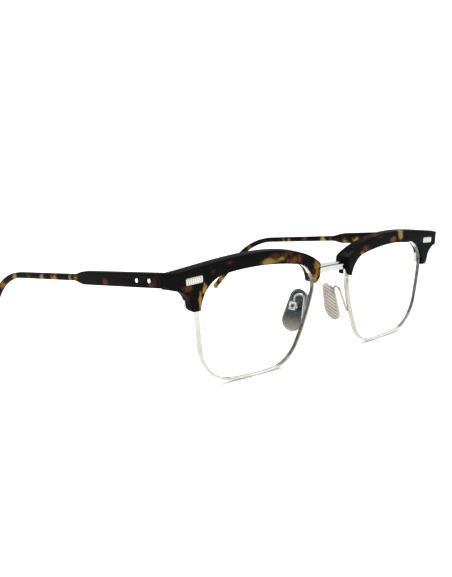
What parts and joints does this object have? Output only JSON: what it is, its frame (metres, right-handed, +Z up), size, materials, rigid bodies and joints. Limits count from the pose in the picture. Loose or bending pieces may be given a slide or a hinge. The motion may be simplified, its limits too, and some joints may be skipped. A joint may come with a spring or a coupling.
{
  "type": "half rim eyeglasses",
  "caption": "Half rim browline eyeglasses: acetate brow over thin metal rims, clear lenses, metal bridge, nose pads on wire arms, and folding acetate temples.",
  "frame": {"origin": "centre of the bounding box's base, which is the surface the glasses stand on with rims and temple tips down", "axes": "+X to the wearer's left, +Y back towards the ears, +Z up; the front faces -Y"},
  "size_m": [0.1444, 0.1422, 0.0428],
  "materials": {
    "acetate": "polished dark tortoise acetate with amber and olive patches",
    "rim_metal": "satin silver",
    "bridge_metal": "bright polished silver",
    "bright_metal": "bright polished silver",
    "clear_lens": "clear, polished",
    "pad_metal": "grey titanium, polished back and fine ribs towards the nose"
  },
  "bodies": {
    "front": {"bridge": "bridge_metal", "rim_left": "rim_metal", "rim_right": "rim_metal", "lens_left": "clear_lens", "lens_right": "clear_lens", "brow_left": "acetate", "brow_right": "acetate", "brow_screws_left": "bright_metal", "brow_screws_right": "bright_metal", "closing_block_left": "rim_metal", "closing_block_right": "rim_metal", "rim_screw_left": "bright_metal", "rim_screw_right": "bright_metal", "plaque_left": "bright_metal", "plaque_right": "bright_metal", "end_piece_left": "rim_metal", "end_piece_right": "rim_metal", "hinge_screw_left": "bright_metal", "hinge_screw_right": "bright_metal", "pad_box_left": "rim_metal", "pad_box_right": "rim_metal", "pad_screw_left": "bright_metal", "pad_screw_right": "bright_metal", "pad_arm_left": "rim_metal", "pad_arm_right": "rim_metal"},
    "temple_left": {"temple_hinge_left": "rim_metal", "temple_rivets_left": "bright_metal", "temple_left": "acetate", "core_wire_left": "rim_metal"},
    "temple_right": {"temple_hinge_right": "rim_metal", "temple_rivets_right": "bright_metal", "temple_right": "acetate", "core_wire_right": "rim_metal"},
    "pad_left": {"nose_pad_left": "pad_metal"},
    "pad_right": {"nose_pad_right": "pad_metal"}
  },
  "joints": [
    {"name": "temple_left_fold", "type": "hinge", "parent": "front", "child": "temple_left", "pos_m": [0.06723, -0.0613, 0.0369], "axis": [0, 0.0828, 0.9966], "range_deg": [0, 90]},
    {"name": "temple_right_fold", "type": "hinge", "parent": "front", "child": "temple_right", "pos_m": [-0.06723, -0.0613, 0.0369], "axis": [0, -0.0828, -0.9966], "range_deg": [0, 83]},
    {"name": "pad_left_rock", "type": "hinge", "parent": "front", "child": "pad_left", "pos_m": [0.01119, -0.06086, 0.01953], "axis": [0.18, 0.9762, 0.1211], "range_deg": [-8, 8]},
    {"name": "pad_right_rock", "type": "hinge", "parent": "front", "child": "pad_right", "pos_m": [-0.01119, -0.06086, 0.01953], "axis": [0.18, -0.9762, -0.1211], "range_deg": [-8, 8]}
  ]
}
